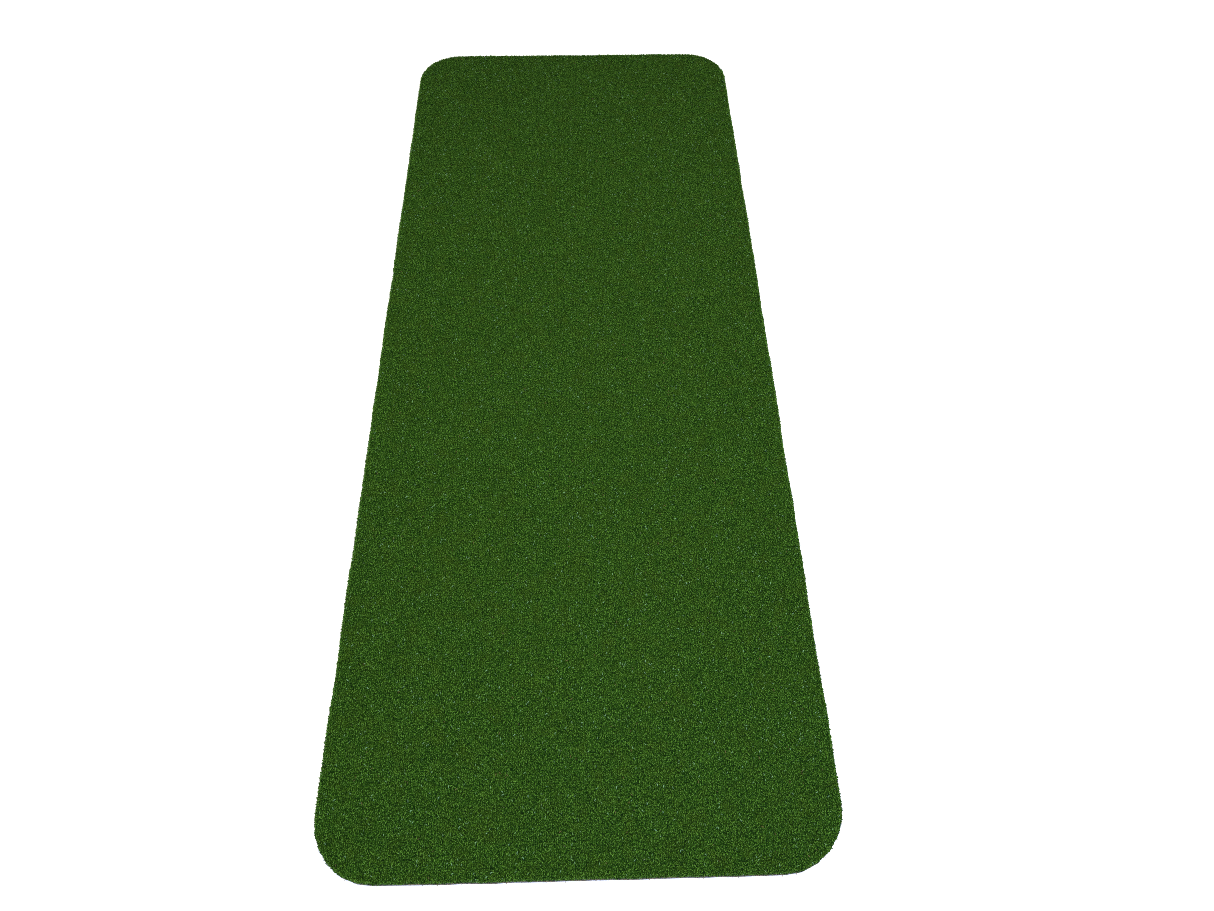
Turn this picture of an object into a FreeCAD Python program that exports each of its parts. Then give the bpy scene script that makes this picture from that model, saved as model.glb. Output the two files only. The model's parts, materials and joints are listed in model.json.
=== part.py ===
import FreeCAD, Part
import math
import os
import Sketcher

# A golf hitting mat: tufted nylon turf, glued to a foam pad, with rounded corners.
# The origin is on the floor under the middle of the mat. +Y runs along its length, and +Z is up.
# From the floor up: foam pad, latex coating, fleece, woven cloth, and 256 rows of pile.

SIZES = {
    "mat_width": 1219.2,  # 4 ft
    "mat_length": 3048.0,  # 10 ft
    "corner_radius": 152.4,  # 6 in
    "foam_thickness": 6.35,  # 1/4 in
    "coating_thickness": 1.4,
    "fleece_thickness": 0.5,
    "cloth_thickness": 0.6,
    "pile_height": 15.875,  # 5/8 in
    "band_count": 8,
    "rows_per_band": 32,  # with 8 bands, rows stand 3/16 in apart
    "row_gap": 0.4,
    "row_spare": 25.0,  # what each end of a row runs past the outline before it is cut
}

# Each flat layer, from the floor up, with the cell that holds its thickness.
LAYERS = {
    "foam_pad": "foam_thickness",
    "tuft_lock_coating": "coating_thickness",
    "backing_fleece": "fleece_thickness",
    "primary_backing": "cloth_thickness",
}

ROW_PITCH = "sizes.mat_width / (sizes.band_count * sizes.rows_per_band)"
BAND_WIDTH = "sizes.mat_width / sizes.band_count"

doc = FreeCAD.newDocument("golf_hitting_mat")


def make_sheet():
    sheet = doc.addObject("Spreadsheet::Sheet", "sizes")
    for row, (alias, value) in enumerate(SIZES.items(), start=1):
        sheet.set(f"A{row}", alias)
        sheet.set(f"B{row}", str(value))
        sheet.setAlias(f"B{row}", alias)
    doc.recompute()
    return sheet


def cell_sum(aliases):
    return " + ".join(f"sizes.{alias}" for alias in aliases) or "0"


def flat_sketch(body, name):
    sketch = body.newObject("Sketcher::SketchObject", name)
    plane = next(f for f in body.Origin.OriginFeatures if f.Role == "XY_Plane")
    sketch.AttachmentSupport = (plane, [""])
    sketch.MapMode = "FlatFace"
    return sketch


def bind(sketch, name, constraint, expression):
    index = sketch.addConstraint(constraint)
    sketch.renameConstraint(index, name)
    sketch.setExpression(f"Constraints.{name}", expression)


def draw_mat_outline(sketch):
    """A rounded rectangle around the sketch's origin, as the mat is cut."""
    half_width = SIZES["mat_width"] / 2
    half_length = SIZES["mat_length"] / 2
    radius = SIZES["corner_radius"]
    inner_x = half_width - radius
    inner_y = half_length - radius
    up = FreeCAD.Vector(0, 0, 1)

    def point(x, y):
        return FreeCAD.Vector(x, y, 0)

    sides = [
        (point(-inner_x, -half_length), point(inner_x, -half_length)),
        (point(half_width, -inner_y), point(half_width, inner_y)),
        (point(inner_x, half_length), point(-inner_x, half_length)),
        (point(-half_width, inner_y), point(-half_width, -inner_y)),
    ]
    corners = [(inner_x, -inner_y), (inner_x, inner_y), (-inner_x, inner_y), (-inner_x, -inner_y)]
    near, right, far, left = [sketch.addGeometry(Part.LineSegment(*side)) for side in sides]
    arcs = []
    quarter = math.pi / 2
    for turn, (x, y) in enumerate(corners):
        circle = Part.Circle(point(x, y), up, radius)
        start = (turn - 1) * quarter
        arcs.append(sketch.addGeometry(Part.ArcOfCircle(circle, start, start + quarter)))

    lines = [near, right, far, left]
    for turn, arc in enumerate(arcs):
        following = lines[(turn + 1) % 4]
        sketch.addConstraint(Sketcher.Constraint("Tangent", lines[turn], 2, arc, 1))
        sketch.addConstraint(Sketcher.Constraint("Tangent", arc, 2, following, 1))
    for line in (near, far):
        sketch.addConstraint(Sketcher.Constraint("Horizontal", line))
    for line in (left, right):
        sketch.addConstraint(Sketcher.Constraint("Vertical", line))
    for arc in arcs[1:]:
        sketch.addConstraint(Sketcher.Constraint("Equal", arcs[0], arc))
    sketch.addConstraint(Sketcher.Constraint("Symmetric", arcs[3], 3, arcs[1], 3, -1, 1))
    bind(sketch, "radius", Sketcher.Constraint("Radius", arcs[0], radius), "sizes.corner_radius")
    width = Sketcher.Constraint("DistanceX", left, 1, right, 1, 2 * half_width)
    bind(sketch, "width", width, "sizes.mat_width")
    length = Sketcher.Constraint("DistanceY", near, 1, far, 1, 2 * half_length)
    bind(sketch, "length", length, "sizes.mat_length")


def draw_row(sketch):
    """One tuft row seen from above, centred on the sketch's origin."""
    row_pitch = SIZES["mat_width"] / (SIZES["band_count"] * SIZES["rows_per_band"])
    half_x = (row_pitch - SIZES["row_gap"]) / 2
    half_y = SIZES["mat_length"] / 2 + SIZES["row_spare"]
    corners = [(-half_x, -half_y), (half_x, -half_y), (half_x, half_y), (-half_x, half_y)]
    points = [FreeCAD.Vector(x, y, 0) for x, y in corners]
    lines = []
    for turn in range(4):
        side = Part.LineSegment(points[turn], points[(turn + 1) % 4])
        lines.append(sketch.addGeometry(side))
    for turn in range(4):
        following = lines[(turn + 1) % 4]
        sketch.addConstraint(Sketcher.Constraint("Coincident", lines[turn], 2, following, 1))
    near, right, far, left = lines
    for line in (near, far):
        sketch.addConstraint(Sketcher.Constraint("Horizontal", line))
    for line in (left, right):
        sketch.addConstraint(Sketcher.Constraint("Vertical", line))
    sketch.addConstraint(Sketcher.Constraint("Symmetric", near, 1, far, 1, -1, 1))
    thickness = Sketcher.Constraint("DistanceX", near, 1, near, 2, 2 * half_x)
    bind(sketch, "thickness", thickness, f"{ROW_PITCH} - sizes.row_gap")
    length = Sketcher.Constraint("DistanceY", right, 1, right, 2, 2 * half_y)
    bind(sketch, "length", length, "sizes.mat_length + 2 * sizes.row_spare")


def make_slab(name, thickness, below):
    """A flat layer of the mat's outline. The layers in below carry it."""
    body = doc.addObject("PartDesign::Body", name)
    body.Label = name
    sketch = flat_sketch(body, f"{name}_outline")
    draw_mat_outline(sketch)
    pad = body.newObject("PartDesign::Pad", f"{name}_pad")
    pad.Profile = sketch
    pad.setExpression("Length", thickness)
    body.setExpression("Placement.Base.z", cell_sum(below))
    return body


def make_uncut_rows(band, below):
    """A band of rows as it leaves the tufting machine, longer than the mat."""
    name = f"uncut_rows_{band + 1}"
    body = doc.addObject("PartDesign::Body", name)
    sketch = flat_sketch(body, f"{name}_section")
    draw_row(sketch)
    pad = body.newObject("PartDesign::Pad", f"{name}_pad")
    pad.Profile = sketch
    pad.setExpression("Length", "sizes.pile_height")
    rows = body.newObject("PartDesign::LinearPattern", f"{name}_rows")
    rows.Originals = [pad]
    rows.Direction = (sketch, ["H_Axis"])
    rows.setExpression("Length", f"(sizes.rows_per_band - 1) * {ROW_PITCH}")
    rows.setExpression("Occurrences", "sizes.rows_per_band")
    body.Tip = rows
    first_row = f"({band} - sizes.band_count / 2) * {BAND_WIDTH} + {ROW_PITCH} / 2"
    body.setExpression("Placement.Base.x", first_row)
    body.setExpression("Placement.Base.z", cell_sum(below))
    return body


def make_tuft_rows(band, cutter, below):
    """The band's rows, cut to the mat's outline. Each row is one solid."""
    first = band * SIZES["rows_per_band"] + 1
    last = first + SIZES["rows_per_band"] - 1
    name = f"tuft_rows_{first:03d}_{last:03d}"
    rows = doc.addObject("Part::Common", name)
    rows.Label = name
    rows.Base = make_uncut_rows(band, below)
    rows.Tool = cutter
    rows.Refine = False
    return rows


def check_document(subparts):
    for item in doc.Objects:
        if "Invalid" in item.State or "Error" in item.State:
            raise RuntimeError(f"{item.Label} failed to compute: {item.State}")
    for item in subparts:
        if item.Shape.isNull() or not item.Shape.isValid():
            raise RuntimeError(f"{item.Label} has no valid shape")
        if len(item.Shape.Solids) == 0:
            raise RuntimeError(f"{item.Label} has no solid")


make_sheet()
subparts = []
below = []
for layer, thickness in LAYERS.items():
    subparts.append(make_slab(layer, f"sizes.{thickness}", below))
    below.append(thickness)

pile_outline = make_slab("pile_outline", "sizes.pile_height", below)
for band in range(SIZES["band_count"]):
    subparts.append(make_tuft_rows(band, pile_outline, below))

doc.recompute()
check_document(subparts)

os.makedirs("parts", exist_ok=True)
for item in subparts:
    item.Shape.exportStep(f"parts/{item.Label}.step")
    litres = item.Shape.Volume / 1e6
    print(f"{item.Label}: {len(item.Shape.Solids)} solids, {litres:.2f} litres")
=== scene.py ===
import bpy
import json
import math
import random
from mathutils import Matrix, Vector

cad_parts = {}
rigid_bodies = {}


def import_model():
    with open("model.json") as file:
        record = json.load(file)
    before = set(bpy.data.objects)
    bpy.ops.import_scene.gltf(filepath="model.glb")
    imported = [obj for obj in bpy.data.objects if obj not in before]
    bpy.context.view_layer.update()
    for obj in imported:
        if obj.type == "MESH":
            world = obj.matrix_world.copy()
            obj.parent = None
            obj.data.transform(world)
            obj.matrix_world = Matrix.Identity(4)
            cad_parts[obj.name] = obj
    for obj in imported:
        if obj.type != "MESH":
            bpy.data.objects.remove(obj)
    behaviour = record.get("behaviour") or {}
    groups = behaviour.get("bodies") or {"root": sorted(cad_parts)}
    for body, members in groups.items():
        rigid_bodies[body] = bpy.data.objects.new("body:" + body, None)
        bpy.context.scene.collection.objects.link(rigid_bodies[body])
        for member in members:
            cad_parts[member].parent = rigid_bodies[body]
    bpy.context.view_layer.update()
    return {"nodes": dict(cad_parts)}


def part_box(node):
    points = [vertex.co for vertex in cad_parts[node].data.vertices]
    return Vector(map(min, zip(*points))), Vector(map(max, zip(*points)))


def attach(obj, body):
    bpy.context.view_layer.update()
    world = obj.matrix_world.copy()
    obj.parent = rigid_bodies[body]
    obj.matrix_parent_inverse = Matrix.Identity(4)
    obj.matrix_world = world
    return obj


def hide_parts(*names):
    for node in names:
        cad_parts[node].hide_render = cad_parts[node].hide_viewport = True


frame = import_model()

mm = 0.001
print("golf mat: frame loaded")

# Rows of tufts run along Y. The record's nodes say how they are grouped.
tuftNodes = sorted(n for n in frame["nodes"] if n.startswith("tuft_rows_"))
matLow, matHigh = [Vector(corner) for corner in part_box("primary_backing")]
matWidth = matHigh.x - matLow.x
matLength = matHigh.y - matLow.y
pileFoot = matHigh.z
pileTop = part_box(tuftNodes[0])[1][2]
packedShare = 0.76  # of the pile's height, below the loose curls
bedTop = pileFoot + packedShare * (pileTop - pileFoot)


# ---- small helpers

def deselectAll():
    bpy.ops.object.select_all(action="DESELECT")


def pickOnly(piece):
    deselectAll()
    piece.select_set(True)
    bpy.context.view_layer.objects.active = piece


def bakePlace():
    bpy.ops.object.transform_apply(location=True, rotation=True, scale=True)


def applyAll(piece):
    pickOnly(piece)
    for modifier in list(piece.modifiers):
        bpy.ops.object.modifier_apply(modifier=modifier.name)


def copyPiece(piece, name):
    copy = bpy.data.objects.new(name, piece.data.copy())
    copy.data.name = name
    bpy.context.scene.collection.objects.link(copy)
    pickOnly(copy)
    return copy


def addNode(tree, kind, sockets=None, **settings):
    made = tree.nodes.new(kind)
    for key, value in settings.items():
        setattr(made, key, value)
    for key, value in (sockets or {}).items():
        if isinstance(value, bpy.types.NodeSocket):
            tree.links.new(value, made.inputs[key])
        else:
            made.inputs[key].default_value = value
    return made


def sums(tree, operation, first, second=0.0):
    return addNode(tree, "ShaderNodeMath", {0: first, 1: second}, operation=operation).outputs["Value"]


def spread(tree, value, low, high, toLow=0.0, toHigh=1.0):
    sockets = {"Value": value, "From Min": low, "From Max": high, "To Min": toLow, "To Max": toHigh}
    return addNode(tree, "ShaderNodeMapRange", sockets).outputs["Result"]


def noiseOf(tree, place, scale, detail=2, distortion=0.0):
    return addNode(tree, "ShaderNodeTexNoise", {
        "Vector": place, "Scale": scale, "Detail": detail, "Distortion": distortion}).outputs["Fac"]


def colourSteps(tree, factor, steps):
    ramp = addNode(tree, "ShaderNodeValToRGB", {"Fac": factor})
    while len(ramp.color_ramp.elements) < len(steps):
        ramp.color_ramp.elements.new(0.5)
    for element, (place, colour) in zip(ramp.color_ramp.elements, steps):
        element.position = place
        element.color = (*colour, 1)
    return ramp.outputs["Color"]


def mixColours(tree, share, first, second):
    sockets = {0: share}
    for index, colour in ((6, first), (7, second)):
        sockets[index] = colour if isinstance(colour, bpy.types.NodeSocket) else (*colour, 1)
    return addNode(tree, "ShaderNodeMix", sockets, data_type="RGBA").outputs[2]


def startMaterial(name, roughness, gloss):
    material = bpy.data.materials.new(name)
    material.use_nodes = True
    tree = material.node_tree
    shader = tree.nodes["Principled BSDF"]
    shader.inputs["Roughness"].default_value = roughness
    shader.inputs["Specular IOR Level"].default_value = gloss
    place = addNode(tree, "ShaderNodeTexCoord").outputs["Object"]
    return material, tree, shader, place


def setColour(tree, shader, colour):
    tree.links.new(colour, shader.inputs["Base Color"])


def setBump(tree, shader, height, depth):
    bump = addNode(tree, "ShaderNodeBump", {"Height": height, "Distance": depth})
    tree.links.new(bump.outputs["Normal"], shader.inputs["Normal"])


# ---- the outline, as the knife cut it

cut = {
    "corner": 150 * mm,
    "facets": 6,  # straight cuts that each corner is rounded with
    "step": 24 * mm,  # between points along the cut
    "wander": 6 * mm,
    "wanderSizes": (0.171, 0.249),
    "nibble": 3.0 * mm,
    "nibbleSizes": (0.045, 0.052),
    "layerUneven": 1.6 * mm,  # and each layer under the pile by this much more
    "layerSizes": (0.021, 0.024),
    "sharp": 60,  # edges that bend by more degrees than this are softened
    "smooth": 50,
}


def shake(piece, name, strength, sizes):
    # moves the points a little along X and along Y, each by a cloud pattern of its own
    for axis, size in zip("XY", sizes):
        cloud = bpy.data.textures.new(name + axis, "CLOUDS")
        cloud.noise_scale = size
        push = piece.modifiers.new(name + axis, "DISPLACE")
        push.texture = cloud
        push.texture_coords = "LOCAL"
        push.direction = axis
        push.strength = strength
    applyAll(piece)


def edgeLength(piece, edge):
    first, last = [piece.data.vertices[index].co for index in edge.vertices]
    return (first - last).length


def splitEdges(piece, low, high):
    # divides the edges between these two lengths into steps, all by the same number
    bpy.ops.object.mode_set(mode="EDIT")
    bpy.ops.mesh.select_mode(type="EDGE")
    bpy.ops.mesh.select_all(action="DESELECT")
    bpy.ops.object.mode_set(mode="OBJECT")
    chosen = [edge for edge in piece.data.edges if low < edgeLength(piece, edge) <= high]
    if not chosen:
        return
    length = max(edgeLength(piece, edge) for edge in chosen)
    for edge in chosen:
        edge.select = True
    bpy.ops.object.mode_set(mode="EDIT")
    bpy.ops.mesh.subdivide(number_cuts=round(length / cut["step"]) - 1)
    bpy.ops.object.mode_set(mode="OBJECT")


def cutOutline():
    # one flat face with the mat's shape, at the height where the pile begins
    deselectAll()
    bpy.ops.mesh.primitive_plane_add(size=1, location=(0, 0, pileFoot))
    outline = bpy.context.object
    outline.name = "cutOutline"
    bpy.ops.transform.resize(value=(matWidth, matLength, 1))
    bakePlace()
    bpy.ops.object.mode_set(mode="EDIT")
    bpy.ops.mesh.select_all(action="SELECT")
    bpy.ops.mesh.bevel(offset=cut["corner"], segments=cut["facets"], affect="VERTICES")
    bpy.ops.mesh.select_all(action="SELECT")
    bpy.ops.mesh.delete(type="ONLY_FACE")
    bpy.ops.object.mode_set(mode="OBJECT")
    splitEdges(outline, matWidth, matLength)
    splitEdges(outline, matWidth / 2, matWidth)
    splitEdges(outline, 1.6 * cut["step"], matWidth / 2)
    shake(outline, "wander", cut["wander"], cut["wanderSizes"])
    shake(outline, "nibble", cut["nibble"], cut["nibbleSizes"])
    bpy.ops.object.mode_set(mode="EDIT")
    bpy.ops.mesh.select_all(action="SELECT")
    bpy.ops.mesh.edge_face_add()
    bpy.ops.object.mode_set(mode="OBJECT")
    if outline.data.polygons[0].normal.z < 0:
        outline.data.flip_normals()
    print("golf mat: outline", len(outline.data.vertices), "points,", outline.data.polygons[0].area, "m2")
    return outline


def shrink(piece, inset):
    pickOnly(piece)
    bpy.ops.transform.resize(value=(1 - 2 * inset / matWidth, 1 - 2 * inset / matLength, 1),
                             center_override=(0, 0, 0))
    bakePlace()


def makeSlab(outline, name, material, low, high, layer):
    # a closed layer from the outline, with its own slightly uneven cut
    slab = copyPiece(outline, name)
    shrink(slab, layer["inset"])
    bpy.ops.transform.translate(value=(0, 0, high - pileFoot))
    bakePlace()
    shake(slab, name, cut["layerUneven"], [size + layer["inset"] for size in cut["layerSizes"]])
    shell = slab.modifiers.new("thickness", "SOLIDIFY")
    shell.thickness = high - low
    shell.offset = -1
    soften = slab.modifiers.new("soften", "BEVEL")
    soften.width = layer["edge"]
    soften.segments = 2
    soften.limit_method = "ANGLE"
    soften.angle_limit = math.radians(cut["sharp"])
    applyAll(slab)
    bpy.ops.object.shade_smooth_by_angle(angle=math.radians(cut["smooth"]))
    slab.data.materials.append(material)
    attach(slab, "root")
    print("golf mat:", name, len(slab.data.polygons), "faces")
    return slab


# ---- the layers under the pile

# scales are per metre, and an edge is how far a layer's cut is rounded
foam = {
    "colour": (0.017, 0.018, 0.019),
    "pore": (0.006, 0.006, 0.007),
    "cells": 700,
    "waffle": 4.0 * mm,
    "waffleTop": (0.5 * mm, 0.2 * mm),  # the print fades out between these heights
    "relief": 0.6 * mm,
    "inset": 0.0,
    "edge": 0.5 * mm,
}

latex = {
    "colour": (0.055, 0.057, 0.060),
    "chalk": (0.15, 0.15, 0.15),
    "chalkScale": 60,
    "grainScale": 380,
    "relief": 0.5 * mm,
    "inset": 0.5 * mm,
    "edge": 0.2 * mm,
}

fleece = {
    "colour": (0.34, 0.35, 0.33),
    "shadow": (0.12, 0.13, 0.12),
    "hairScale": 950,
    "relief": 0.4 * mm,
    "sheen": 0.3,
    "inset": 0.9 * mm,
    "edge": 0.1 * mm,
}

cloth = {
    "warp": (0.40, 0.31, 0.18),
    "weft": (0.30, 0.22, 0.12),
    "stain": (0.20, 0.20, 0.08),
    "stainScale": 45,
    "pitch": 2.1 * mm,
    "relief": 0.4 * mm,
    "inset": 0.2 * mm,
    "edge": 0.1 * mm,
}


def ripple(tree, along, pitch):
    # from 0 to 1 and back once in each pitch
    turns = sums(tree, "MULTIPLY", along, math.tau / pitch)
    return spread(tree, sums(tree, "SINE", turns), -1, 1)


def makeFoamMaterial():
    material, tree, shader, place = startMaterial("closedCellFoam", roughness=0.8, gloss=0.25)
    cells = addNode(tree, "ShaderNodeTexVoronoi", {"Vector": place, "Scale": foam["cells"]})
    pores = spread(tree, cells.outputs["Distance"], 0.1, 0.5)
    setColour(tree, shader, mixColours(tree, pores, foam["pore"], foam["colour"]))
    axes = addNode(tree, "ShaderNodeSeparateXYZ", {"Vector": place}).outputs
    ribs = [spread(tree, ripple(tree, axes[axis], foam["waffle"]), 0.05, 0.4) for axis in "XY"]
    waffle = sums(tree, "MINIMUM", *ribs)
    under = spread(tree, axes["Z"], *foam["waffleTop"])
    relief = sums(tree, "ADD", sums(tree, "MULTIPLY", pores, 0.3), sums(tree, "MULTIPLY", waffle, under))
    setBump(tree, shader, relief, foam["relief"])
    return material


def makeLatexMaterial():
    material, tree, shader, place = startMaterial("filledLatex", roughness=0.6, gloss=0.35)
    chalk = spread(tree, noiseOf(tree, place, latex["chalkScale"], 4), 0.5, 0.8, 0.0, 0.6)
    setColour(tree, shader, mixColours(tree, chalk, latex["colour"], latex["chalk"]))
    setBump(tree, shader, noiseOf(tree, place, latex["grainScale"], 5), latex["relief"])
    return material


def makeFleeceMaterial():
    material, tree, shader, place = startMaterial("needledFleece", roughness=0.95, gloss=0.1)
    hairs = noiseOf(tree, place, fleece["hairScale"], 4, distortion=2.5)
    share = spread(tree, hairs, 0.3, 0.65)
    setColour(tree, shader, mixColours(tree, share, fleece["shadow"], fleece["colour"]))
    setBump(tree, shader, hairs, fleece["relief"])
    shader.inputs["Sheen Weight"].default_value = fleece["sheen"]
    return material


def makeClothMaterial():
    material, tree, shader, place = startMaterial("wovenTape", roughness=0.5, gloss=0.4)
    axes = addNode(tree, "ShaderNodeSeparateXYZ", {"Vector": place}).outputs
    across = ripple(tree, axes["X"], cloth["pitch"])
    along = ripple(tree, axes["Y"], cloth["pitch"])
    over = spread(tree, sums(tree, "SUBTRACT", across, along), -0.15, 0.15)
    stained = spread(tree, noiseOf(tree, place, cloth["stainScale"], 4), 0.5, 0.9, 0, 0.5)
    tapes = mixColours(tree, over, cloth["weft"], cloth["warp"])
    setColour(tree, shader, mixColours(tree, stained, tapes, cloth["stain"]))
    setBump(tree, shader, sums(tree, "MAXIMUM", across, along), cloth["relief"])
    return material


def makeLayers(outline, clothMaterial):
    low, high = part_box("foam_pad")
    pad = makeSlab(outline, "foam_cushion", makeFoamMaterial(), low[2], high[2], foam)
    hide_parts("foam_pad")

    low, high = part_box("tuft_lock_coating")
    coat = makeSlab(outline, "latex_coating", makeLatexMaterial(), low[2], high[2], latex)
    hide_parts("tuft_lock_coating")

    low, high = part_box("backing_fleece")
    felt = makeSlab(outline, "needled_fleece", makeFleeceMaterial(), low[2], high[2], fleece)
    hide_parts("backing_fleece")

    low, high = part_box("primary_backing")
    weave = makeSlab(outline, "woven_cloth", clothMaterial, low[2], high[2], cloth)
    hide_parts("primary_backing")


# ---- the yarn

yarn = {
    # the darkest colour is painted shade, for the pile's depths and the gaps between its fibres
    "paintedShade": (0.001, 0.008, 0.001),
    "shade": (0.009, 0.040, 0.002),
    "body": (0.039, 0.112, 0.008),
    "light": (0.086, 0.198, 0.025),
    # a painted highlight: pale bluish glints, given to a few strands as their colour
    "paintedHighlight": (0.14, 0.27, 0.13),
    "olive": (0.048, 0.085, 0.004),
    "dry": (0.085, 0.080, 0.025),
    "roughness": (0.40, 0.70),
    "gloss": 0.15,
    "patchScale": 26.0,  # per metre
    "unevenScale": 420.0,
    "fuzzScale": 1100.0,
    "relief": 0.3 * mm,
    "lit": (-4 * mm, 3 * mm),  # from the bed's top: painted shade, dark at the first height, its full colour at the second
    "deepShare": 0.04,  # how much of its colour it keeps under the painted shade further down
    "uneven": 0.68,  # against the strand's own tone
}


def oliveShare(tree, place):
    # in patches a few centimetres wide the yarn is a little more yellow
    return spread(tree, noiseOf(tree, place, yarn["patchScale"], 3), 0.45, 0.85, 0.0, 0.5)


def makeYarn():
    material, tree, shader, place = startMaterial("curledNylon", roughness=0.6, gloss=yarn["gloss"])
    tint = addNode(tree, "ShaderNodeAttribute", attribute_name="tint").outputs["Fac"]
    # the yarn's own unevenness, and then a tone for the whole strand
    uneven = spread(tree, noiseOf(tree, place, yarn["unevenScale"], 1), 0.3, 0.7, 0, yarn["uneven"])
    factor = sums(tree, "ADD", uneven, sums(tree, "MULTIPLY", tint, 1 - yarn["uneven"]))
    tone = colourSteps(tree, factor, [(0.15, yarn["shade"]), (0.45, yarn["body"]), (0.75, yarn["light"])])
    # olive patches and dry tan bits are the yarn's own colour; the pale tint between them is a painted
    # highlight
    yarnColour = mixColours(tree, oliveShare(tree, place), tone, yarn["olive"])
    # a few strands take a pale bluish painted highlight
    yarnColour = mixColours(tree, spread(tree, tint, 0.96, 0.99), yarnColour, yarn["paintedHighlight"])
    yarnColour = mixColours(tree, spread(tree, tint, 0.996, 0.997), yarnColour, yarn["dry"])
    # painted shade: each strand darkens towards the bed by height, and keeps its full colour above it
    height = addNode(tree, "ShaderNodeSeparateXYZ", {"Vector": place}).outputs["Z"]
    darkest, brightest = yarn["lit"]
    rise = spread(tree, height, bedTop + darkest, bedTop + brightest, yarn["deepShare"])
    setColour(tree, shader, mixColours(tree, rise, yarn["paintedShade"], yarnColour))
    fuzz = noiseOf(tree, place, yarn["fuzzScale"])
    tree.links.new(spread(tree, fuzz, 0, 1, *yarn["roughness"]), shader.inputs["Roughness"])
    setBump(tree, shader, fuzz, yarn["relief"])
    return material


bed = {
    "inset": 1.2 * mm,
    "edge": 2.5 * mm,
    "fibreScale": 340.0,  # per metre
    "fibreWidth": 0.075,  # of the noise's range, each side of the line
    "toneScale": 260.0,
    "relief": 1.2 * mm,
    "depth": 6 * mm,  # painted shade darkens its side down to here below its top
    "rows": 256,
}


def fibreLines(tree, place, offset):
    # winding lines, where a noise crosses its middle value
    shifted = addNode(tree, "ShaderNodeVectorMath", {0: place, 1: offset}, operation="ADD").outputs["Vector"]
    noise = noiseOf(tree, shifted, bed["fibreScale"], 1, 0.6)
    far = sums(tree, "ABSOLUTE", sums(tree, "SUBTRACT", noise, 0.5))
    return spread(tree, far, bed["fibreWidth"], bed["fibreWidth"] / 4)


def makeBedYarn():
    material, tree, shader, place = startMaterial("packedNylon", roughness=0.75, gloss=0.04)
    lines = [fibreLines(tree, place, offset) for offset in ((0, 0, 0), (1.7, 0.3, 0.9))]
    axes = addNode(tree, "ShaderNodeSeparateXYZ", {"Vector": place}).outputs
    # painted shade and a bump: darker in the grooves between the rows
    ridge = spread(tree, ripple(tree, axes["X"], matWidth / bed["rows"]), 0.0, 0.35, 0.45, 1.0)
    # painted shade: darker down the bed's side
    lit = spread(tree, axes["Z"], bedTop - bed["depth"], bedTop, 0.1)
    fibres = sums(tree, "MAXIMUM", *lines)
    # the fibres on the ridges are raised and lit; everywhere else the bed takes painted shade
    raisedAndLit = sums(tree, "MULTIPLY", sums(tree, "MULTIPLY", fibres, ridge), lit)
    tone = colourSteps(tree, noiseOf(tree, place, bed["toneScale"], 1), [
        (0.35, yarn["shade"]), (0.60, yarn["body"]), (0.85, yarn["light"])])
    yarnColour = mixColours(tree, oliveShare(tree, place), tone, yarn["olive"])
    setColour(tree, shader, mixColours(tree, raisedAndLit, yarn["paintedShade"], yarnColour))
    setBump(tree, shader, raisedAndLit, bed["relief"])
    return material


def makeBed(outline):
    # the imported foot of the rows, under the loose curls
    packed = makeSlab(outline, "pile_bed", makeBedYarn(), pileFoot, bedTop, bed)
    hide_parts(*tuftNodes)


# ---- strands of yarn, modelled once each

pile = {
    "rows": 32,  # in each of the record's nodes
    "stitch": 5.7 * mm,  # along the row
    "jitter": (1.7 * mm, 2.4 * mm, 0.7 * mm),
    "curlWidth": 2.1 * mm,
    "curl": (3.0 * mm, 3.2 * mm, 3.0 * mm),  # its three stretches: up, over and down
    "curlRise": 2.8 * mm,
    "curlSweep": 1.8 * mm,  # how far both ends bend to one side
    "curlLift": 0.72,  # of its rise, how far its top stands out of the bed
    "stubWidth": 2.0 * mm,
    "stub": (3.6 * mm, 3.4 * mm),
    "stubLean": (25, 50),
    "stubLift": 1.0 * mm,
    "curlKinds": 9,
    "stubKinds": 4,
    "sizes": (0.85, 1.2),  # how small and how large a strand may be planted
    "tilt": 12,  # degrees
    "turn": 65,  # how far a strand may lie out of line with its row
    "inset": 4.0 * mm,
    "seed": 7,
}

rim = {
    "step": 2.0 * mm,
    "insets": (1.4 * mm, 3.0 * mm, 4.6 * mm),
    "width": 2.2 * mm,
    "lengths": (7.0 * mm, 6.0 * mm),
    "kinds": 8,
    "jitter": 0.6 * mm,
    "spin": 0.6,  # radians
    "tilt": 5,
}


def pickEnd(piece, side):
    # in edit mode, leaves only the end face that looks towards -X or +X selected
    bpy.ops.object.mode_set(mode="EDIT")
    bpy.ops.mesh.select_mode(type="FACE")
    bpy.ops.mesh.select_all(action="DESELECT")
    bpy.ops.object.mode_set(mode="OBJECT")
    max(piece.data.polygons, key=lambda face: side * face.normal.x).select = True
    bpy.ops.object.mode_set(mode="EDIT")


def extrudeBy(value):
    bpy.ops.mesh.extrude_region_move(TRANSFORM_OT_translate={"value": value})


def startStrand(width, middle):
    # the middle stretch of a strand, a three-sided bar along X
    bpy.ops.mesh.primitive_cylinder_add(
        vertices=3, radius=width / 2, depth=middle, rotation=(0, math.pi / 2, 0), end_fill_type="NGON")
    strand = bpy.context.object
    bakePlace()
    return strand


def faceEitherWay(draw):
    bpy.ops.transform.rotate(value=math.pi * draw.randint(0, 1), orient_axis="Z", center_override=(0, 0, 0))
    bakePlace()


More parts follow.
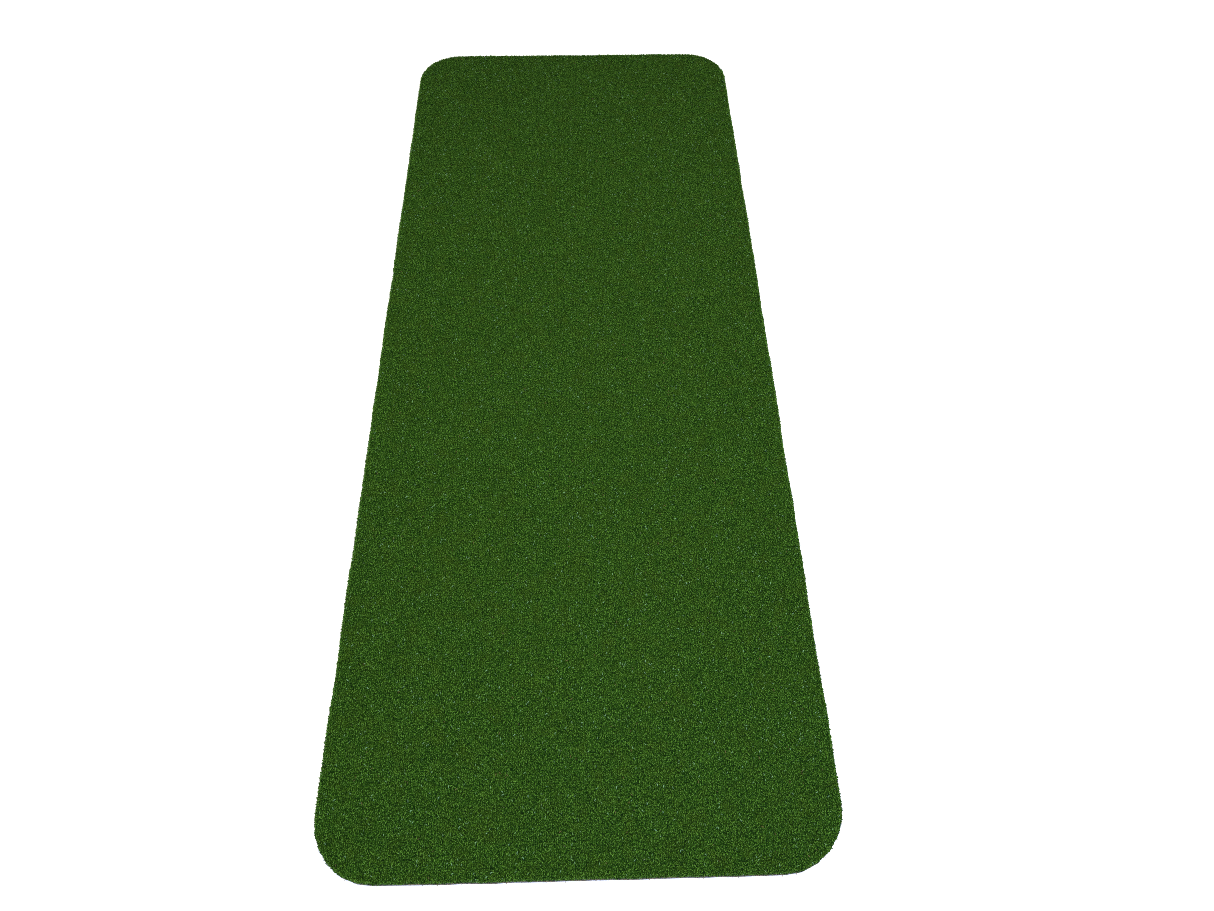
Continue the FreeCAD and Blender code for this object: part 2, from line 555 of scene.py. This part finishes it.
def modelCurl(draw):
    # an arch of yarn with both ends down in the pile
    up, over, down = [length * draw.uniform(0.8, 1.25) for length in pile["curl"]]
    rise = pile["curlRise"] * draw.uniform(0.75, 1.3)
    sweep = pile["curlSweep"] * draw.uniform(0.2, 1.6)
    curl = startStrand(pile["curlWidth"] * draw.uniform(0.85, 1.15), over)
    for side, length in ((-1, up), (1, down)):
        pickEnd(curl, side)
        extrudeBy((side * length, sweep * draw.uniform(0.6, 1.4), -rise * draw.uniform(0.8, 1.2)))
        bpy.ops.mesh.merge(type="CENTER")
        bpy.ops.object.mode_set(mode="OBJECT")
    bpy.ops.transform.translate(value=(0, 0, rise * pile["curlLift"]))
    faceEitherWay(draw)
    return curl


def modelStub(draw):
    # a cut end of yarn that leans out of the pile
    first, last = [length * draw.uniform(0.8, 1.2) for length in pile["stub"]]
    stub = startStrand(pile["stubWidth"] * draw.uniform(0.85, 1.15), last)
    pickEnd(stub, -1)
    extrudeBy((-first, draw.uniform(-1, 1) * first / 3, -first / 3))
    bpy.ops.mesh.merge(type="CENTER")
    bpy.ops.object.mode_set(mode="OBJECT")
    lean = math.radians(draw.uniform(*pile["stubLean"]))
    bpy.ops.transform.rotate(value=lean, orient_axis="Y", center_override=(0, 0, 0))
    bpy.ops.transform.translate(value=(0, 0, pile["stubLift"]))
    faceEitherWay(draw)
    return stub


def modelRimLeg(draw):
    # an upright leg of yarn at the mat's edge, bent once, with a cut end
    low, high = [length * draw.uniform(0.85, 1.12) for length in rim["lengths"]]
    leg = startStrand(rim["width"] * draw.uniform(0.8, 1.2), low)
    pickEnd(leg, 1)
    extrudeBy((high, high * draw.uniform(-0.4, 0.4), high * draw.uniform(-0.1, 0.4)))
    bpy.ops.object.mode_set(mode="OBJECT")
    bpy.ops.transform.translate(value=(low / 2, 0, 0))
    bpy.ops.transform.rotate(value=math.pi / 2, orient_axis="Y", center_override=(0, 0, 0))
    bakePlace()
    return leg


def modelKinds(material, name, makers):
    # one strand from each maker, kept in a collection that the mat is planted from
    draw = random.Random(pile["seed"])
    box = bpy.data.collections.new(name)
    bpy.context.scene.collection.children.link(box)
    for number, maker in enumerate(makers):
        strand = maker(draw)
        strand.name = f"{name}{number}"
        strand.data.materials.append(material)
        bpy.ops.object.shade_smooth()
        bpy.context.scene.collection.objects.unlink(strand)
        box.objects.link(strand)
    return box


def emptyBox(box):
    for strand in list(box.objects):
        bpy.data.objects.remove(strand)
    bpy.data.collections.remove(box)


# ---- planting

def emptyTree(name):
    tree = bpy.data.node_groups.new(name, "GeometryNodeTree")
    for way in ("INPUT", "OUTPUT"):
        tree.interface.new_socket("Geometry", in_out=way, socket_type="NodeSocketGeometry")
    return tree, addNode(tree, "NodeGroupInput"), addNode(tree, "NodeGroupOutput")


def randomVector(tree, low, high, seed):
    sockets = {0: low, 1: high, "Seed": seed}
    return addNode(tree, "FunctionNodeRandomValue", sockets, data_type="FLOAT_VECTOR").outputs[0]


def randomNumber(tree, low, high, seed):
    node = addNode(tree, "FunctionNodeRandomValue", {2: low, 3: high, "Seed": seed}, data_type="FLOAT")
    return node.outputs[1]


def plantStrands(tree, points, box, rotation, seed):
    # one of the box's strands on every point, each with a tint of its own
    source = addNode(tree, "GeometryNodeCollectionInfo", {
        "Collection": box, "Separate Children": True, "Reset Children": True})
    pick = addNode(tree, "FunctionNodeRandomValue", {4: 0, 5: len(box.objects) - 1, "Seed": seed},
                   data_type="INT").outputs[2]
    planted = addNode(tree, "GeometryNodeInstanceOnPoints", {
        "Points": points, "Instance": source.outputs["Instances"], "Pick Instance": True,
        "Instance Index": pick, "Rotation": rotation, "Scale": randomNumber(tree, *pile["sizes"], seed + 1)})
    tint = randomNumber(tree, 0, 1, seed + 2)
    named = addNode(tree, "GeometryNodeStoreNamedAttribute", {
        "Geometry": planted.outputs["Instances"], "Name": "tint", "Value": tint},
        data_type="FLOAT", domain="INSTANCE")
    real = addNode(tree, "GeometryNodeRealizeInstances", {"Geometry": named.outputs["Geometry"]})
    return real.outputs["Geometry"]


def keepOver(tree, geometry, shape):
    # deletes the points that don't stand over the shape
    ground = addNode(tree, "GeometryNodeObjectInfo", {"Object": shape})
    place = addNode(tree, "GeometryNodeInputPosition")
    under = addNode(tree, "GeometryNodeRaycast", {
        "Target Geometry": ground.outputs["Geometry"], "Source Position": place.outputs["Position"],
        "Ray Direction": (0, 0, -1), "Ray Length": 2 * pileTop})
    miss = addNode(tree, "FunctionNodeBooleanMath", {0: under.outputs["Is Hit"]}, operation="NOT")
    return addNode(tree, "GeometryNodeDeleteGeometry", {
        "Geometry": geometry, "Selection": miss.outputs["Boolean"]}).outputs["Geometry"]


def bandTree(box, shape, low, high, seed):
    # the band's stitches, shaken out of line
    tree, _, end = emptyTree("growBand")
    width, length = high.x - low.x, high.y - low.y
    grid = addNode(tree, "GeometryNodeMeshGrid", {
        "Size X": width * (1 - 1 / pile["rows"]), "Size Y": length - pile["stitch"],
        "Vertices X": pile["rows"], "Vertices Y": round(length / pile["stitch"])})
    middle = Vector(((low.x + high.x) / 2, (low.y + high.y) / 2, bedTop))
    reach = Vector(pile["jitter"])
    spots = addNode(tree, "GeometryNodeSetPosition", {
        "Geometry": grid.outputs["Mesh"],
        "Offset": randomVector(tree, middle - reach, middle + reach, seed)})
    tilt = math.radians(pile["tilt"])
    turn = math.radians(pile["turn"])
    lean = randomVector(tree, (-tilt, -tilt, math.pi / 2 - turn), (tilt, tilt, math.pi / 2 + turn), seed + 3)
    kept = keepOver(tree, spots.outputs["Geometry"], shape)
    tree.links.new(plantStrands(tree, kept, box, lean, seed + 4), end.inputs["Geometry"])
    return tree


def growOn(piece, tree):
    grow = piece.modifiers.new("grow", "NODES")
    grow.node_group = tree
    applyAll(piece)
    bpy.data.node_groups.remove(tree)


def makePile(outline, material):
    box = modelKinds(material, "strand", [modelCurl] * pile["curlKinds"] + [modelStub] * pile["stubKinds"])
    shape = copyPiece(outline, "plantedShape")
    shrink(shape, pile["inset"])
    share = matWidth / len(tuftNodes)
    for band, node in enumerate(tuftNodes):
        low, high = [Vector(corner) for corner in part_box(node)]
        low.x = matLow.x + band * share
        high.x = low.x + share
        piece = copyPiece(outline, f"pile_band_{band + 1}")
        piece.data.materials.append(material)
        growOn(piece, bandTree(box, shape, low, high, pile["seed"] + 20 * band))
        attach(piece, "root")
        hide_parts(node)
        print("golf mat:", piece.name, len(piece.data.polygons), "faces")
    bpy.data.objects.remove(shape)
    emptyBox(box)


# ---- the cut edge of the pile

def edgePoints(tree, start, step):
    # even points along the outline, and at each the way out of the mat
    line = addNode(tree, "GeometryNodeMeshToCurve", {"Mesh": start.outputs["Geometry"]})
    even = addNode(tree, "GeometryNodeResampleCurve", {"Curve": line.outputs["Curve"], "Length": step},
                   mode="LENGTH")
    along = addNode(tree, "GeometryNodeInputTangent").outputs["Tangent"]
    place = addNode(tree, "GeometryNodeInputPosition").outputs["Position"]
    side = addNode(tree, "ShaderNodeVectorMath", {0: along, 1: (0, 0, 1)}, operation="CROSS_PRODUCT")
    side = side.outputs["Vector"]
    facing = addNode(tree, "ShaderNodeVectorMath", {0: side, 1: place}, operation="DOT_PRODUCT")
    sign = sums(tree, "SIGN", facing.outputs["Value"])
    outward = addNode(tree, "ShaderNodeVectorMath", {0: side, "Scale": sign}, operation="SCALE")
    return even.outputs["Curve"], outward.outputs["Vector"]


def standOutward(tree, outward, sway):
    # Z up and X out of the mat, then swayed
    upright = addNode(tree, "FunctionNodeAxesToRotation", {
        "Primary Axis": (0, 0, 1), "Secondary Axis": outward}, primary_axis="Z", secondary_axis="X")
    turned = addNode(tree, "FunctionNodeRotateRotation", {
        "Rotation": upright.outputs["Rotation"], "Rotate By": sway}, rotation_space="LOCAL")
    return turned.outputs["Rotation"]


def shiftAlong(tree, points, outward, inset, jitter, seed):
    inward = addNode(tree, "ShaderNodeVectorMath", {0: outward, "Scale": -inset}, operation="SCALE")
    shaken = addNode(tree, "ShaderNodeVectorMath", {
        0: inward.outputs["Vector"],
        1: randomVector(tree, (-jitter,) * 3, (jitter,) * 3, seed)}, operation="ADD")
    return addNode(tree, "GeometryNodeSetPosition", {
        "Geometry": points, "Offset": shaken.outputs["Vector"]}).outputs["Geometry"]


def rimTree(box):
    tree, start, end = emptyTree("growRim")
    points, outward = edgePoints(tree, start, rim["step"])
    joined = addNode(tree, "GeometryNodeJoinGeometry")
    tilt = math.radians(rim["tilt"])
    for layer, inset in enumerate(rim["insets"]):
        moved = shiftAlong(tree, points, outward, inset, rim["jitter"], 50 + layer)
        sway = randomVector(tree, (-tilt, -tilt / 2, -rim["spin"]), (tilt, tilt, rim["spin"]), 60 + layer)
        grown = plantStrands(tree, moved, box, standOutward(tree, outward, sway), 70 + 10 * layer)
        tree.links.new(grown, joined.inputs["Geometry"])
    tree.links.new(joined.outputs["Geometry"], end.inputs["Geometry"])
    return tree


def outlineLoop(outline, name):
    loop = copyPiece(outline, name)
    bpy.ops.object.mode_set(mode="EDIT")
    bpy.ops.mesh.select_all(action="SELECT")
    bpy.ops.mesh.delete(type="ONLY_FACE")
    bpy.ops.object.mode_set(mode="OBJECT")
    return loop


def makeRim(outline, material):
    box = modelKinds(material, "rimLeg", [modelRimLeg] * rim["kinds"])
    loop = outlineLoop(outline, "pile_rim")
    growOn(loop, rimTree(box))
    emptyBox(box)
    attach(loop, "root")
    print("golf mat:", loop.name, len(loop.data.polygons), "faces")


# ---- cut ends of the woven cloth, loose at the edge

ends = {
    "step": 11 * mm,
    "share": 0.30,  # of the places along the near edge, where most of them are
    "farShare": 0.05,
    "nearReach": 0.25,  # how far from the near edge the share falls to the other
    "jitter": 0.5 * mm,
    "sway": ((-0.5, -0.3, -0.9), (0.5, 0.2, 0.9)),  # radians
    "size": (4.5 * mm, 1.5 * mm, 0.4 * mm),
    "kinds": 5,
}


def modelTapeEnd(draw):
    length, width, thickness = [size * draw.uniform(0.7, 1.3) for size in ends["size"]]
    bpy.ops.mesh.primitive_cube_add(size=1)
    tape = bpy.context.object
    bpy.ops.transform.resize(value=(length / 2, width, thickness))
    bakePlace()
    pickEnd(tape, 1)
    extrudeBy((length / 2, draw.uniform(-0.3, 0.3) * length, draw.uniform(-0.1, 0.4) * length))
    bpy.ops.object.mode_set(mode="OBJECT")
    return tape


def endsTree(box):
    tree, start, end = emptyTree("looseEnds")
    points, outward = edgePoints(tree, start, ends["step"])
    moved = shiftAlong(tree, points, outward, 0.0, ends["jitter"], 92)
    facing = standOutward(tree, outward, randomVector(tree, *ends["sway"], 93))
    held = addNode(tree, "GeometryNodeStoreNamedAttribute", {
        "Geometry": moved, "Name": "facing", "Value": facing}, data_type="QUATERNION", domain="POINT")
    dots = addNode(tree, "GeometryNodeCurveToPoints", {"Curve": held.outputs["Geometry"]}, mode="EVALUATED")
    place = addNode(tree, "GeometryNodeInputPosition").outputs["Position"]
    along = addNode(tree, "ShaderNodeSeparateXYZ", {"Vector": place}).outputs["Y"]
    near = spread(tree, along, matLow.y, matLow.y + ends["nearReach"], ends["share"], ends["farShare"])
    drop = sums(tree, "GREATER_THAN", randomNumber(tree, 0, 1, 91), near)
    kept = addNode(tree, "GeometryNodeDeleteGeometry", {
        "Geometry": dots.outputs["Points"], "Selection": drop}).outputs["Geometry"]
    turn = addNode(tree, "GeometryNodeInputNamedAttribute", {"Name": "facing"}, data_type="QUATERNION")
    grown = plantStrands(tree, kept, box, turn.outputs["Attribute"], 95)
    tree.links.new(grown, end.inputs["Geometry"])
    return tree


def makeLooseEnds(outline, material):
    box = modelKinds(material, "tapeEnd", [modelTapeEnd] * ends["kinds"])
    loop = outlineLoop(outline, "backing_yarn_ends")
    growOn(loop, endsTree(box))
    emptyBox(box)
    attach(loop, "root")
    print("golf mat:", loop.name, len(loop.data.polygons), "faces")


outline = cutOutline()
wovenTape = makeClothMaterial()
makeLayers(outline, wovenTape)
nylon = makeYarn()
makeBed(outline)
makePile(outline, nylon)
makeRim(outline, nylon)
makeLooseEnds(outline, wovenTape)
bpy.data.objects.remove(outline)


# ---- floor, light and camera

studio = {
    "floor": (0.90, 0.90, 0.90),
    "glow": (0.30, 0.85),  # the floor gives off light too, and more of it away from the mat
    "glowFrom": (2.6, 5.0),
    "sky": 0.22,
    "backdrop": 1.0,  # how bright the sky looks to the camera
    "top": 345,
    "topPlace": (0.6, -0.7, 4.3),
    "topTarget": (0.2, -0.3, 0),
    "topSize": 3.2,
    "topColour": (1.0, 1.0, 0.80),
    "side": 110,
    "sidePlace": (1.4, -3.6, 3.4),
    "sideTarget": (0, -0.2, 0),
    "sideSize": 2.2,
    "sideColour": (0.75, 0.95, 1.8),
    "cameraPlace": (0.040, -1.735, 2.135),
    "pitch": 58.0,
    "yaw": 2.11,
    "roll": 0.71,
    "lens": 25.44,
    "sensor": 36,
    "floorSize": 80,
    "pixelFilter": 1.0,  # narrow, so that the yarn's grain stays crisp
}


def makeFloor():
    deselectAll()
    bpy.ops.mesh.primitive_plane_add(size=studio["floorSize"], location=(0, 0, 0))
    floor = bpy.context.object
    floor.name = "studioFloor"
    material, tree, shader, place = startMaterial("paleFloor", roughness=0.9, gloss=0.3)
    shader.inputs["Base Color"].default_value = (*studio["floor"], 1)
    shader.inputs["Emission Color"].default_value = (1, 1, 1, 1)
    away = addNode(tree, "ShaderNodeVectorMath", {0: place}, operation="LENGTH").outputs["Value"]
    glow = spread(tree, away, *studio["glowFrom"], *studio["glow"])
    tree.links.new(glow, shader.inputs["Emission Strength"])
    floor.data.materials.append(material)


def addLamp(name):
    place = Vector(studio[f"{name}Place"])
    target = Vector(studio[f"{name}Target"])
    bpy.ops.object.light_add(type="AREA", location=place)
    lamp = bpy.context.object
    lamp.name = f"{name}Lamp"
    lamp.data.size = studio[f"{name}Size"]
    lamp.data.energy = studio[name]
    lamp.data.color = studio[f"{name}Colour"]
    lamp.rotation_euler = (target - place).to_track_quat("-Z", "Y").to_euler()


def makeStudio():
    makeFloor()
    addLamp("top")
    addLamp("side")
    world = bpy.data.worlds.new("studio")
    bpy.context.scene.world = world
    world.use_nodes = True
    sky = world.node_tree.nodes["Background"]
    sky.inputs["Color"].default_value = (1, 1, 1, 1)
    seen = addNode(world.node_tree, "ShaderNodeLightPath").outputs["Is Camera Ray"]
    strength = spread(world.node_tree, seen, 0, 1, studio["sky"], studio["backdrop"])
    world.node_tree.links.new(strength, sky.inputs["Strength"])
    bpy.ops.object.camera_add(location=studio["cameraPlace"])
    camera = bpy.context.object
    camera.rotation_euler = (math.radians(90 - studio["pitch"]), 0, -math.radians(studio["yaw"]))
    camera.rotation_euler.rotate_axis("Z", math.radians(studio["roll"]))
    camera.data.sensor_width = studio["sensor"]
    camera.data.lens = studio["lens"]
    bpy.context.scene.camera = camera
    bpy.context.scene.view_settings.view_transform = "Standard"
    bpy.context.scene.cycles.use_denoising = False  # it wipes out the yarn's grain
    bpy.context.scene.cycles.filter_width = studio["pixelFilter"]


makeStudio()
